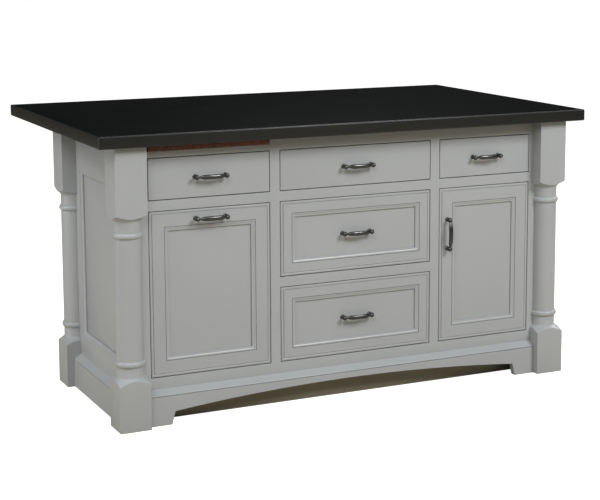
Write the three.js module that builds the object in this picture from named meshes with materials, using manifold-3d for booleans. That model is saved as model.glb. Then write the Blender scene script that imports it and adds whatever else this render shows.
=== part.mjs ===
// Kitchen island unit with turned corner posts: a stone worktop on a face-framed cabinet with five
// drawers, a pull-out for a bin, a hinged door and a pull-out cutting board.
//
// Millimetres. +X runs along the front to the right, +Y from the front to the back, +Z up.
// The origin is on the floor under the middle of the worktop.

import * as THREE from 'three';
import { mergeVertices } from 'three/addons/utils/BufferGeometryUtils.js';
import Module from 'manifold-3d';

const wasm = await Module();
wasm.setup();

// ---------------------------------------------------------------- driving dimensions

// Worktop
const worktopLength = 1706;
const worktopDepth = 1024;
const worktopThickness = 38;
const worktopHeight = 914;
const worktopEdgeRadius = 4;
const endOverhang = 56;
const frontOverhang = 29;
const seatingOverhang = 330;

// Corner posts
const postSize = 100;
const shaftRadius = 41;
const beadRadius = 47;
const beadHeight = 18;
const topBlockHeight = 205;
const plinthHeight = 142;
const neckHeight = 32;
const postSides = 28;
const upperTongueHeight = 26;
const upperTongueFullness = 0.15;
const upperTongueHollow = 0.52;
const lowerTongueHeight = 24;
const lowerTongueFullness = 0.05;
const lowerTongueHollow = 0.9;

// Cabinet body
const frameRecess = 48;
const faceFrameThickness = 19;
const endFrameThickness = 12;
const backFrameThickness = 12;
const sideThickness = 18;
const backThickness = 12;
const deckThickness = 18;
const partitionThickness = 18;

// Face frame
const stileShow = 16;
const mullionWidth = 33;
const leftBayWidth = 403;
const rightBayWidth = 350;
const topRailHeight = 44;
const middleRailHeight = 32;
const topDrawerHeight = 132;
const middleDrawerHeight = 244;
const bottomRailHeight = 61;
const bottomRailLap = 22;
const boardSlotHeight = 25;

// End and back panelling
const panelStileShow = 45;
const panelFootRail = 48;
const panelHeadRail = 153;
const backMullionWidth = 70;
const stickingWidth = 9;
const stickingDepth = 7;

// Skirting and toe board
const skirtingRecess = 25;
const skirtingHeight = 108;
const capHeight = 17;
const quirkHeight = 2.5;
const quirkDepth = 2.5;
const capSetback = 0.5;
const capFillet = 2;
const capBeadRadius = 3;
const capBeadProud = 1.2;
const capShoulder = 0.75;
const capHollow = 0.45;
const capSweep = 0.35;
const archFootWidth = 74;
const archFootFlare = 11;
const archSpring = 42;
const archApex = 73;
const toeRecess = 95;
const toeThickness = 16;

// Drawer fronts and doors
const frontThickness = 19;
const reveal = 2.5;
const frontBeadWidth = 8;
const frontBeadDrop = 3;
const grooveWidth = 1.4;
const grooveDepth = 2.2;
const drawerFrameWidth = 38;
const doorFrameWidth = 48;
const ogeeWidth = 12;
const ogeeCrown = 0.6;
const ogeeRoll = 0.4;
const panelDepth = 9;
const slabEdge = 1.5;

// Drawer boxes and their runners
const boxBackClearance = 45;
const boxWall = 15;
const boxFloor = 8;
const boxFloorRise = 8;
const boxSideGap = 5;
const boxLift = 6;
const boxHeadroom = 20;
const runnerHeight = 16;
const runnerRise = 34;
const runnerReach = 7;
const runnerSetback = 30;
const runnerEndGap = 10;
const grooveLead = 5;

// Bin pull-out
const trayHeight = 110;
const trayFrontHeight = 400;
const binHeight = 430;
const binWall = 2.5;
const binDraft = 22;
const binCorner = 40;
const binBaseEdge = 4;
const binRimWidth = 9;
const binRimDrop = 22;
const binSideGap = 8;

// Cutting board
const boardThickness = 19;
const boardBackClearance = 87;
const boardProud = 3;
const boardSideGap = 2;
const boardEdge = 2;
const ledgeHeight = 18;
const ledgeReach = 12;
const juiceGrooveInset = 22;
const juiceGrooveWidth = 9;
const juiceGrooveDepth = 4;
const juiceGrooveCorner = 12;

// Shelf
const shelfRise = 249;
const shelfThickness = 18;
const shelfSetback = 24;
const housingDepth = 6;

// Pulls
const pullCentres = 98;
const pullStand = 20;
const pullBow = 8;
const pullFootRadius = 7.5;
const pullFootEdge = 2.5;
const pullFootTaper = 3.5;
const pullStemRadius = 3.5;
const pullBallRadius = 8;
const pullBarEnd = 3;
const pullBarWidth = 7.5;
const pullBarDepth = 5;
const pullSwell = 0.7;
const doorPullDrop = 155;

// Cup hinges of the right door
const cupRadius = 17.5;
const cupDepth = 12;
const cupWall = 2.5;
const cupFloor = 1.5;
const cupDraft = 1;
const cupInset = 22.5;
const hingeSides = 24;
const cupRimWidth = 2.5;
const cupFlangeThickness = 2;
const cupFlangeHeight = 52;
const cupFlangeWidth = 23;
const cupFlangeCorner = 8;
const hingeFromEnd = 75;
const armHeight = 16;
const armThickness = 9;
const armTip = 9.5;
const armBend = 8;
const hingePlateLength = 48;
const hingePlateHeight = 44;
const hingePlateThickness = 4;

// Clearances
const glueLine = 0.2;
const seatClearance = 0.3;

// How far a cutter runs past the face that it opens.
const past = 1;

// ---------------------------------------------------------------- places worked out from them

const bodyHeight = worktopHeight - worktopThickness;
const bodyHalf = worktopLength / 2 - endOverhang;
const bodyFront = -worktopDepth / 2 + frontOverhang;
const bodyBack = worktopDepth / 2 - seatingOverhang;
const postInner = bodyHalf - postSize;
const frontPlane = bodyFront + frameRecess;
const frameBack = frontPlane + faceFrameThickness;
const endPlane = bodyHalf - frameRecess;
const backPlane = bodyBack - frameRecess;
const sideOuter = endPlane - endFrameThickness;
const sideInner = sideOuter - sideThickness;
const carcassBack = backPlane - backFrameThickness;
const insideBack = carcassBack - backThickness;

const openingEdge = postInner - stileShow;
const leftBay = { x0: -openingEdge, x1: -openingEdge + leftBayWidth };
const rightBay = { x0: openingEdge - rightBayWidth, x1: openingEdge };
const centreBay = { x0: leftBay.x1 + mullionWidth, x1: rightBay.x0 - mullionWidth };

const topRow = { z1: bodyHeight - topRailHeight, z0: bodyHeight - topRailHeight - topDrawerHeight };
const doorTop = topRow.z0 - middleRailHeight;
const middleRow = { z1: doorTop, z0: doorTop - middleDrawerHeight };
const frameBase = skirtingHeight - bottomRailLap;
const deckTop = frameBase + bottomRailHeight;
const bottomRow = { z1: middleRow.z0 - middleRailHeight, z0: deckTop };
const doorRow = { z1: doorTop, z0: deckTop };
const boardSlotBottom = bodyHeight - boardSlotHeight;

const leftPartition = (leftBay.x1 + centreBay.x0) / 2;
const rightPartition = (centreBay.x1 + rightBay.x0) / 2;
const halfPartition = partitionThickness / 2;
const leftPartitionFaces = { x0: leftPartition - halfPartition, x1: leftPartition + halfPartition };
const rightPartitionFaces = { x0: rightPartition - halfPartition, x1: rightPartition + halfPartition };
const deckBottom = deckTop - deckThickness;
const panelBottom = deckTop + panelFootRail;
const panelTop = bodyHeight - panelHeadRail;
const shelfBottom = deckTop + shelfRise;
const boxLength = insideBack - frameBack - boxBackClearance;
const boardFront = frontPlane - boardProud;
const boardLength = insideBack - boardBackClearance - boardFront;

// ---------------------------------------------------------------- finishes

function finish(color, roughness, metalness) {
  return new THREE.MeshStandardMaterial({ color, roughness, metalness });
}

const greyPaint = finish(0xa0a3a0, 0.5, 0);
const blackStone = finish(0x1c1e1c, 0.28, 0);
const toePaint = finish(0x4b4b44, 0.7, 0);
const boardWood = finish(0x6b3526, 0.5, 0);
const birchPly = finish(0xcfb58c, 0.6, 0);
const runnerWood = finish(0xb8956a, 0.6, 0);
const brushedNickel = finish(0x8c8a84, 0.35, 1);
const hingeSteel = finish(0xb0b2b4, 0.35, 1);
const binPlastic = finish(0x8e9294, 0.55, 0);

// ---------------------------------------------------------------- shaping

function solidOf(geometry) {
  const bare = geometry.clone();
  bare.deleteAttribute('normal');
  bare.deleteAttribute('uv');
  const merged = mergeVertices(bare, 1e-4);
  const mesh = new wasm.Mesh({
    numProp: 3,
    vertProperties: new Float32Array(merged.attributes.position.array),
    triVerts: new Uint32Array(merged.index.array),
  });
  return new wasm.Manifold(mesh);
}

function geometryOf(solid) {
  const mesh = solid.getMesh();
  const geometry = new THREE.BufferGeometry();
  geometry.setAttribute('position', new THREE.BufferAttribute(new Float32Array(mesh.vertProperties), 3));
  geometry.setIndex(new THREE.BufferAttribute(new Uint32Array(mesh.triVerts), 1));
  geometry.computeVertexNormals();
  return geometry;
}

function cut(geometry, ...cutters) {
  const left = cutters.reduce((body, cutter) => body.subtract(solidOf(cutter)), solidOf(geometry));
  return geometryOf(left);
}

function join(geometry, ...others) {
  const whole = others.reduce((body, other) => body.add(solidOf(other)), solidOf(geometry));
  return geometryOf(whole);
}

function common(geometry, other) {
  return geometryOf(solidOf(geometry).intersect(solidOf(other)));
}

// A plain block between two corners.
function block(x0, x1, y0, y1, z0, z1) {
  const geometry = new THREE.BoxGeometry(x1 - x0, y1 - y0, z1 - z0);
  return geometry.translate((x0 + x1) / 2, (y0 + y1) / 2, (z0 + z1) / 2);
}

// Two numbers, the lower one first.
function inOrder(a, b) {
  return a < b ? [a, b] : [b, a];
}

// A board of the carcass: a block cut back all round by half a glue line.
function board(x0, x1, y0, y1, z0, z1) {
  const g = glueLine / 2;
  return block(x0 + g, x1 - g, y0 + g, y1 - g, z0 + g, z1 - g);
}

// A closed skin through rings of equally many points, capped by its first and last ring.
function loft(rings) {
  const count = rings[0].length;
  const last = (rings.length - 1) * count;
  const positions = rings.flat().flatMap((point) => [point.x, point.y, point.z]);
  const index = [];
  for (let ring = 0; ring < rings.length - 1; ring += 1) {
    for (let i = 0; i < count; i += 1) {
      const a = ring * count + i;
      const b = ring * count + ((i + 1) % count);
      index.push(a, b, b + count, a, b + count, a + count);
    }
  }
  for (let i = 1; i < count - 1; i += 1) {
    index.push(0, i + 1, i, last, last + i, last + i + 1);
  }
  if (volumeOf(positions, index) < 0) {
    index.reverse();
  }
  const geometry = new THREE.BufferGeometry();
  geometry.setAttribute('position', new THREE.Float32BufferAttribute(positions, 3));
  geometry.setIndex(index);
  return geometry;
}

function volumeOf(positions, index) {
  const corner = (i) => new THREE.Vector3().fromArray(positions, index[i] * 3);
  let six = 0;
  for (let i = 0; i < index.length; i += 3) {
    six += corner(i).dot(corner(i + 1).cross(corner(i + 2)));
  }
  return six / 6;
}

// An upright rectangle at depth y.
function uprightRing(x0, x1, z0, z1, y) {
  return [
    new THREE.Vector3(x0, y, z0),
    new THREE.Vector3(x1, y, z0),
    new THREE.Vector3(x1, y, z1),
    new THREE.Vector3(x0, y, z1),
  ];
}

// A level rectangle at height z with rounded corners; steps is the number of chords in each corner.
function levelRing(halfX, halfY, z, radius = 0, steps = 0) {
  const points = [];
  for (const [sx, sy, turn] of [[1, 1, 0], [-1, 1, 1], [-1, -1, 2], [1, -1, 3]]) {
    for (let i = 0; i <= steps; i += 1) {
      const angle = (turn + (steps ? i / steps : 0.5)) * Math.PI / 2;
      const reach = steps ? radius : 0;
      const x = sx * (halfX - reach) + reach * Math.cos(angle);
      const y = sy * (halfY - reach) + reach * Math.sin(angle);
      points.push(new THREE.Vector3(x, y, z));
    }
  }
  return points;
}

// An outline drawn as (x, z) and extruded from yFront to yBack.
function uprightPlate(shape, yFront, yBack, curveSegments) {
  const depth = yBack - yFront;
  const geometry = new THREE.ExtrudeGeometry(shape, { depth, bevelEnabled: false, curveSegments });
  const turn = new THREE.Matrix4().set(1, 0, 0, 0, 0, 0, -1, yBack, 0, 1, 0, 0, 0, 0, 0, 1);
  return geometry.applyMatrix4(turn);
}

// Turns a shape made facing the front so that it faces the left end, the right end or the back.
// A point (x, y) of the front goes to these.
const facing = {
  left: new THREE.Matrix4().set(0, 1, 0, 0, -1, 0, 0, 0, 0, 0, 1, 0, 0, 0, 0, 1),
  right: new THREE.Matrix4().set(0, -1, 0, 0, 1, 0, 0, 0, 0, 0, 1, 0, 0, 0, 0, 1),
  back: new THREE.Matrix4().set(-1, 0, 0, 0, 0, -1, 0, 0, 0, 0, 1, 0, 0, 0, 0, 1),
};

const island = new THREE.Group();

function place(parent, name, geometry, material, x = 0, y = 0, z = 0) {
  const mesh = new THREE.Mesh(geometry, material);
  mesh.name = name;
  mesh.position.set(x, y, z);
  parent.add(mesh);
}

// ---------------------------------------------------------------- worktop

function worktop() {
  const rings = [];
  const steps = 3;
  const half = { x: worktopLength / 2, y: worktopDepth / 2 };
  for (const [z, lift] of [[bodyHeight, 1], [worktopHeight, -1]]) {
    for (let i = 0; i <= steps; i += 1) {
      const angle = (lift > 0 ? i : steps - i) / steps * Math.PI / 2;
      const inset = worktopEdgeRadius * (1 - Math.sin(angle));
      const rise = worktopEdgeRadius * (1 - Math.cos(angle));
      rings.push(levelRing(half.x - inset, half.y - inset, z + lift * rise));
    }
  }
  return loft(rings);
}

place(island, 'worktop', worktop(), blackStone);

// ---------------------------------------------------------------- corner posts

// Radius at which the turned outline has passed outside the corners of the square block.
const clearOfCorners = postSize / Math.SQRT2 + past;

// A half-round bead between two heights, as (radius, height) points from its foot to its top.
function beadOutline(z0) {
  const points = [];
  const steps = 6;
  for (let i = 0; i <= steps; i += 1) {
    const angle = i / steps * Math.PI;
    const radius = shaftRadius + (beadRadius - shaftRadius) * Math.sin(angle);
    points.push(new THREE.Vector2(radius, z0 + beadHeight / 2 * (1 - Math.cos(angle))));
  }
  return points;
}

// The tongue that leads from the square block to the round neck: a hollow that rolls over into a round.
function tongueOutline(zBlock, zNeck, fullness, hollow) {
  const curve = new THREE.CubicBezierCurve(
    new THREE.Vector2(clearOfCorners, zBlock),
    new THREE.Vector2(clearOfCorners, zBlock + (zNeck - zBlock) * fullness),
    new THREE.Vector2(shaftRadius, zBlock + (zNeck - zBlock) * hollow),
    new THREE.Vector2(shaftRadius, zNeck),
  );
  return curve.getPoints(7);
}

// One post: the square blank and the turned outline cut to their common solid, with the inner quarter
// of its length taken out for the cabinet's corner. inX and inY point from the post into the cabinet.
function cornerPost(inX, inY) {
  const top = bodyHeight - glueLine;
  const blockBottom = top - topBlockHeight;
  const neckTop = blockBottom - upperTongueHeight;
  const neckBottom = plinthHeight + lowerTongueHeight;
  const outline = [
    new THREE.Vector2(0, 0),
    new THREE.Vector2(clearOfCorners, 0),
    ...tongueOutline(plinthHeight, neckBottom, lowerTongueFullness, lowerTongueHollow),
    ...beadOutline(neckBottom + neckHeight),
    ...beadOutline(neckTop - neckHeight - beadHeight),
    ...tongueOutline(blockBottom, neckTop, upperTongueFullness, upperTongueHollow).reverse(),
    new THREE.Vector2(clearOfCorners, top),
    new THREE.Vector2(0, top),
  ];
  const turned = new THREE.LatheGeometry(outline, postSides).rotateX(Math.PI / 2);
  const half = postSize / 2;
  const blank = block(-half, half, -half, half, 0, top);
  const near = frameRecess - half - glueLine;
  const far = half + past;
  const [x0, x1] = inOrder(inX * near, inX * far);
  const [y0, y1] = inOrder(inY * near, inY * far);
  return cut(common(blank, turned), block(x0, x1, y0, y1, -past, top + past));
}

const postRows = [
  { row: 'front', y: bodyFront + postSize / 2, inY: 1 },
  { row: 'back', y: bodyBack - postSize / 2, inY: -1 },
];

for (const { row, y, inY } of postRows) {
  for (const [hand, inX] of [['left', 1], ['right', -1]]) {
    const x = -inX * (bodyHalf - postSize / 2);
    place(island, `post_${row}_${hand}`, cornerPost(inX, inY), greyPaint, x, y, 0);
  }
}

// ---------------------------------------------------------------- face frame

// Stiles, mullions and rails glued up as one frame: the blank less its seven openings and the slot for
// the cutting board, which is open to the worktop.
function faceFrame() {
  const g = glueLine / 2;
  const top = bodyHeight - glueLine;
  const blank = block(-endPlane, endPlane, frontPlane + g, frameBack - g, frameBase, top);
  const openings = [
    [leftBay, { z0: boardSlotBottom, z1: bodyHeight }],
    [leftBay, topRow],
    [leftBay, doorRow],
    [centreBay, topRow],
    [centreBay, middleRow],
    [centreBay, bottomRow],
    [rightBay, topRow],
    [rightBay, doorRow],
  ];
  const cutters = openings.map(([bay, row]) => (
    block(bay.x0, bay.x1, frontPlane - past, frameBack + past, row.z0, row.z1)
  ));
  return cut(blank, ...cutters);
}

place(island, 'face_frame', faceFrame(), greyPaint);

// ---------------------------------------------------------------- end and back panelling

// The opening of an applied frame, with its moulded edge, as one cutter. It is drawn for a frame that
// faces the front, whose face is at depth y.
function panelCutter(x0, x1, z0, z1, y, thickness) {
  const steps = 3;
  const ring = (outset, depth) => uprightRing(x0 - outset, x1 + outset, z0 - outset, z1 + outset, depth);
  const rings = [ring(stickingWidth, y - past)];
  for (let i = 0; i <= steps; i += 1) {
    const angle = i / steps * Math.PI / 2;
    rings.push(ring(stickingWidth * Math.cos(angle), y + stickingDepth * Math.sin(angle)));
  }
  rings.push(ring(0, y + thickness + past));
  return loft(rings);
}

// A frame of stiles and rails with one or more openings, facing the front at depth -plane.
function appliedFrame(x0, x1, plane, thickness, openings) {
  const g = glueLine / 2;
  const blank = block(x0 + g, x1 - g, -plane, -plane + thickness - g, frameBase, bodyHeight - glueLine);
  const cutters = openings.map(([a, b]) => panelCutter(a, b, panelBottom, panelTop, -plane, thickness));
  return cut(blank, ...cutters);
}

// On the ends, the front's x runs along the cabinet's depth.
const endOpening = [bodyFront + postSize + panelStileShow, bodyBack - postSize - panelStileShow];

const rightEndFrame = appliedFrame(frameBack, carcassBack, endPlane, endFrameThickness, [endOpening]);
place(island, 'end_frame_right', rightEndFrame.applyMatrix4(facing.right), greyPaint);

const mirroredOpening = [-endOpening[1], -endOpening[0]];
const leftEndFrame = appliedFrame(-carcassBack, -frameBack, endPlane, endFrameThickness, [mirroredOpening]);
place(island, 'end_frame_left', leftEndFrame.applyMatrix4(facing.left), greyPaint);

function backFrame() {
  const edge = postInner - panelStileShow;
  const width = (2 * edge - 2 * backMullionWidth) / 3;
  const openings = [0, 1, 2].map((i) => {
    const x0 = -edge + i * (width + backMullionWidth);
    return [x0, x0 + width];
  });
  return appliedFrame(-endPlane, endPlane, backPlane, backFrameThickness, openings);
}

place(island, 'back_frame', backFrame().applyMatrix4(facing.back), greyPaint);

// ---------------------------------------------------------------- skirtings

// The moulded outline as (distance out from the cabinet's face, height): the flat face, a quirk, a cap that
// rolls over and sweeps back in, and a small bead against the cabinet.
function skirtingOutline() {
  const out = frameRecess - skirtingRecess;
  const capBottom = skirtingHeight - capHeight;
  const filletBottom = capBottom + quirkHeight;
  const beadBottom = skirtingHeight - capBeadRadius;
  const cap = new THREE.CubicBezierCurve(
    new THREE.Vector2(out - capSetback, filletBottom + capFillet),
    new THREE.Vector2(out - 2 * capSetback, capBottom + capHeight * capShoulder),
    new THREE.Vector2(out * capSweep, capBottom + capHeight * capHollow),
    new THREE.Vector2(capBeadRadius, beadBottom),
  );
  const beadReach = capBeadRadius + capBeadProud;
  const bead = new THREE.EllipseCurve(0, beadBottom, beadReach, capBeadRadius, 0, Math.PI / 2);
  return [
    new THREE.Vector2(glueLine, 0),
    new THREE.Vector2(out, 0),
    new THREE.Vector2(out, capBottom),
    new THREE.Vector2(out - quirkDepth, capBottom),
    new THREE.Vector2(out - quirkDepth, filletBottom),
    new THREE.Vector2(out - capSetback, filletBottom),
    ...cap.getPoints(7),
    ...bead.getPoints(4).slice(0, -1),
    new THREE.Vector2(glueLine, skirtingHeight),
  ];
}

// A length of skirting that faces the front, between x0 and x1, on a cabinet face at depth -plane.
function skirting(x0, x1, plane) {
  const start = x0 + glueLine / 2;
  const depth = x1 - glueLine / 2 - start;
  const outline = skirtingOutline().map((point) => new THREE.Vector2(-plane - point.x, point.y));
  const geometry = new THREE.ExtrudeGeometry(new THREE.Shape(outline), { depth, bevelEnabled: false });
  const turn = new THREE.Matrix4().set(0, 0, 1, start, 1, 0, 0, 0, 0, 1, 0, 0, 0, 0, 0, 1);
  return geometry.applyMatrix4(turn);
}

// The long low arch under the front skirting, between two feet whose inner edges lean in upwards.
function archCutter() {
  const half = postInner - archFootWidth;
  const springHalf = half - archFootFlare;
  const rise = archApex - archSpring;
  const radius = (springHalf ** 2 + rise ** 2) / (2 * rise);
  const sweep = Math.asin(springHalf / radius);
  const outline = new THREE.Shape();
  outline.moveTo(half, 0);
  outline.lineTo(springHalf, archSpring);
  outline.absarc(0, archApex - radius, radius, Math.PI / 2 - sweep, Math.PI / 2 + sweep, false);
  outline.lineTo(-half, 0);
  outline.lineTo(-half, -past);
  outline.lineTo(half, -past);
  return uprightPlate(outline, bodyFront, frontPlane + past, 24);
}

place(island, 'skirting_front', cut(skirting(-postInner, postInner, -frontPlane), archCutter()), greyPaint);

const endRun = [bodyFront + postSize, bodyBack - postSize];
const rightSkirting = skirting(endRun[0], endRun[1], endPlane);
const leftSkirting = skirting(-endRun[1], -endRun[0], endPlane);
place(island, 'skirting_right', rightSkirting.applyMatrix4(facing.right), greyPaint);
place(island, 'skirting_left', leftSkirting.applyMatrix4(facing.left), greyPaint);
const backSkirting = skirting(-postInner, postInner, backPlane);
place(island, 'skirting_back', backSkirting.applyMatrix4(facing.back), greyPaint);

const toeFront = bodyFront + toeRecess;
const toeBoard = board(-sideInner, sideInner, toeFront, toeFront + toeThickness, 0, deckBottom);
place(island, 'toe_board', toeBoard, toePaint);

// ---------------------------------------------------------------- carcass

// A long strip glued to a side or a partition, on which one edge of the cutting board slides.
// face is the board's face that carries it, and towards is +1 or -1, the way it reaches.
function boardLedge(face, towards) {
  const edge = towards > 0 ? leftBay.x0 : leftBay.x1;
  const [x0, x1] = inOrder(face - towards * past, edge + towards * ledgeReach);
  const y1 = boardFront + boardLength + boardProud;
  return block(x0, x1, frameBack + glueLine, y1, boardSlotBottom - ledgeHeight, boardSlotBottom);
}

// The groove in which one end of the shelf is housed.
function shelfHousing(face, into) {
  const bottom = shelfBottom - seatClearance;
  const depth = housingDepth + seatClearance;
  const [x0, x1] = inOrder(face - into * past, face + into * depth);
  const top = bottom + shelfThickness + 2 * seatClearance;
  return block(x0, x1, frameBack - past, insideBack + past, bottom, top);
}

const leftSide = board(-sideOuter, -sideInner, frameBack, insideBack, 0, bodyHeight);
place(island, 'side_left', join(leftSide, boardLedge(-sideInner, 1)), birchPly);

const rightSide = board(sideInner, sideOuter, frameBack, insideBack, 0, bodyHeight);
place(island, 'side_right', cut(rightSide, shelfHousing(sideInner, 1)), birchPly);

function partition(faces) {
  return board(faces.x0, faces.x1, frameBack, insideBack, deckTop, bodyHeight);
}

const boardedPartition = join(partition(leftPartitionFaces), boardLedge(leftPartitionFaces.x0, -1));
place(island, 'partition_left', boardedPartition, birchPly);

const housedPartition = cut(partition(rightPartitionFaces), shelfHousing(rightPartitionFaces.x1, -1));
place(island, 'partition_right', housedPartition, birchPly);

const backPanel = board(-sideOuter, sideOuter, insideBack, carcassBack, frameBase, bodyHeight);
place(island, 'back_panel', backPanel, greyPaint);

const deck = board(-sideInner, sideInner, frameBack, insideBack, deckBottom, deckTop);
place(island, 'bottom_deck', deck, birchPly);

function shelf() {
  const x0 = rightPartitionFaces.x1 - housingDepth;
  const x1 = sideInner + housingDepth;
  const y0 = frameBack + shelfSetback;
  return block(x0, x1, y0, insideBack - glueLine, shelfBottom, shelfBottom + shelfThickness);
}

place(island, 'shelf', shelf(), birchPly);

// ---------------------------------------------------------------- drawer fronts and doors

// A plain front with softened edges, centred on x = 0 and z = 0, its face at y = 0.
function slabFront(width, height) {
  const x = width / 2;
  const z = height / 2;
  const s = slabEdge;
  return loft([
    uprightRing(-x, x, -z, z, frontThickness),
    uprightRing(-x, x, -z, z, s),
    uprightRing(-x + s, x - s, -z + s, z - s, 0),
  ]);
}

// The bead round the outside of a framed front, as (inset, depth) points: it starts low at the edge, rolls
// over at the level of the frame and ends in the groove inside it.
function edgeBead() {
  const points = [];
  const steps = 6;
  const half = frontBeadWidth / 2;
  for (let i = 0; i <= steps; i += 1) {
    const angle = i / steps * Math.PI;
    const sink = angle < Math.PI / 2 ? frontBeadDrop : grooveDepth;
    points.push(new THREE.Vector2(half * (1 - Math.cos(angle)), sink * (1 - Math.sin(angle))));
  }
  return points;
}

// The ogee between the frame and the sunk panel, as (inset, depth) points.
function panelOgee(start) {
  const end = start + ogeeWidth;
  const middle = start + ogeeWidth * ogeeRoll;
  const curve = new THREE.CubicBezierCurve(
    new THREE.Vector2(start, ogeeCrown),
    new THREE.Vector2(middle, ogeeCrown),
    new THREE.Vector2(middle, panelDepth),
    new THREE.Vector2(end, panelDepth),
  );
  return curve.getPoints(6);
}

// A front of stiles and rails round a sunk panel, with a bead round its outside edge.
function framedFront(width, height, frameWidth) {
  const x = width / 2;
  const z = height / 2;
  const profile = [
    new THREE.Vector2(0, frontThickness),
    ...edgeBead(),
    new THREE.Vector2(frontBeadWidth + grooveWidth, grooveDepth),
    new THREE.Vector2(frontBeadWidth + grooveWidth, 0),
    new THREE.Vector2(frameWidth, 0),
    new THREE.Vector2(frameWidth, grooveDepth),
    new THREE.Vector2(frameWidth + grooveWidth, grooveDepth),
    ...panelOgee(frameWidth + grooveWidth),
  ];
  return loft(profile.map((point) => (
    uprightRing(-x + point.x, x - point.x, -z + point.x, z - point.x, point.y)
  )));
}

// ---------------------------------------------------------------- pulls

// A bowed bar between two turned feet, lying along X, with the face that it is screwed to at y = 0.
function pull() {
  const foot = [
    new THREE.Vector2(0, glueLine),
    new THREE.Vector2(pullFootRadius, glueLine),
    new THREE.Vector2(pullFootRadius, pullFootEdge),
    new THREE.Vector2(pullStemRadius, pullFootEdge + pullFootTaper),
    new THREE.Vector2(pullStemRadius, pullStand - pullBallRadius),
  ];
  for (const degrees of [-30, 0, 45]) {
    const angle = degrees * Math.PI / 180;
    const point = new THREE.Vector2(Math.cos(angle), Math.sin(angle)).multiplyScalar(pullBallRadius);
    foot.push(point.add(new THREE.Vector2(0, pullStand)));
  }
  foot.push(new THREE.Vector2(0, pullStand + pullBallRadius));
  const turnedFoot = new THREE.LatheGeometry(foot, 10).rotateX(Math.PI);
  const rings = [];
  const lengths = 10;
  const sides = 8;
  for (let i = 0; i <= lengths; i += 1) {
    const along = i / lengths * 2 - 1;
    const swell = Math.cos(along * Math.PI / 2) ** pullSwell;
    const x = along * pullCentres / 2;
    const y = -pullStand - pullBow * (1 - along * along);
    const high = pullBarEnd + (pullBarWidth - pullBarEnd) * swell;
    const deep = pullBarEnd + (pullBarDepth - pullBarEnd) * swell;
    const ring = [];
    for (let j = 0; j < sides; j += 1) {
      const angle = (j + 0.5) / sides * 2 * Math.PI;
      ring.push(new THREE.Vector3(x, y + deep * Math.sin(angle), high * Math.cos(angle)));
    }
    rings.push(ring);
  }
  const left = turnedFoot.clone().translate(-pullCentres / 2, 0, 0);
  const right = turnedFoot.clone().translate(pullCentres / 2, 0, 0);
  return join(loft(rings), left, right);
}

// The same pull set upright: its length along Z.
function uprightPull() {
  const turn = new THREE.Matrix4().set(0, 0, -1, 0, 0, 1, 0, 0, 1, 0, 0, 0, 0, 0, 0, 1);
  return pull().applyMatrix4(turn);
}

// ---------------------------------------------------------------- drawer boxes and runners

// Mid-height of the runners of the drawer in a row.
function runnerMiddle(row) {
  return row.z0 + boxLift + runnerRise;
}

// A glued box behind a front: four walls, a bottom let into them, and a groove along each side.
function drawerBox(bay, row, height) {
  const x0 = bay.x0 + boxSideGap;
  const x1 = bay.x1 - boxSideGap;
  const y0 = frameBack + glueLine;
  const y1 = y0 + boxLength;
  const z0 = row.z0 + boxLift;
  const floorTop = z0 + boxFloorRise + boxFloor;
  const blank = block(x0, x1, y0, y1, z0, z0 + height);
  const hollow = (from, to) => block(x0 + boxWall, x1 - boxWall, y0 + boxWall, y1 - boxWall, from, to);
  const inside = hollow(floorTop, z0 + height + past);
  const under = hollow(z0 - past, z0 + boxFloorRise);
  const middle = runnerMiddle(row);
  const halfGroove = runnerHeight / 2 + seatClearance;
  const depth = runnerReach + seatClearance;
  const grooveStart = frameBack + runnerSetback - grooveLead;
  const grooves = [[x0 - past, x0 + depth], [x1 - depth, x1 + past]].map(([a, b]) => (
    block(a, b, grooveStart, y1 + past, middle - halfGroove, middle + halfGroove)
  ));
  return cut(blank, inside, under, ...grooves);
}

// A hardwood strip fixed to a carcass face; the groove in the side of a drawer box slides on it.
function runner(face, boxFace, row) {
  const towards = Math.sign(boxFace - face);
  const [x0, x1] = inOrder(face + towards * glueLine, boxFace + towards * runnerReach);
  const middle = runnerMiddle(row);
  const y0 = frameBack + runnerSetback;
  const y1 = frameBack + boxLength - runnerEndGap;
  return block(x0, x1, y0, y1, middle - runnerHeight / 2, middle + runnerHeight / 2);
}

function boxHeight(row) {
  return row.z1 - row.z0 - boxLift - boxHeadroom;
}

function placeRunners(name, bay, row, leftFace, rightFace) {
  const left = runner(leftFace, bay.x0 + boxSideGap, row);
  const right = runner(rightFace, bay.x1 - boxSideGap, row);
  place(island, `runner_${name}_left`, left, runnerWood);
  place(island, `runner_${name}_right`, right, runnerWood);
}

const drawers = [
  { name: 'left', bay: leftBay, row: topRow, faces: [-sideInner, leftPartitionFaces.x0], framed: false },
  {
    name: 'centre_top',
    bay: centreBay,
    row: topRow,
    faces: [leftPartitionFaces.x1, rightPartitionFaces.x0],
    framed: false,
  },
  {
    name: 'centre_middle',
    bay: centreBay,
    row: middleRow,
    faces: [leftPartitionFaces.x1, rightPartitionFaces.x0],
    framed: true,
  },
  {
    name: 'centre_bottom',
    bay: centreBay,
    row: bottomRow,
    faces: [leftPartitionFaces.x1, rightPartitionFaces.x0],
    framed: true,
  },
  { name: 'right', bay: rightBay, row: topRow, faces: [rightPartitionFaces.x1, sideInner], framed: false },
];

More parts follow.
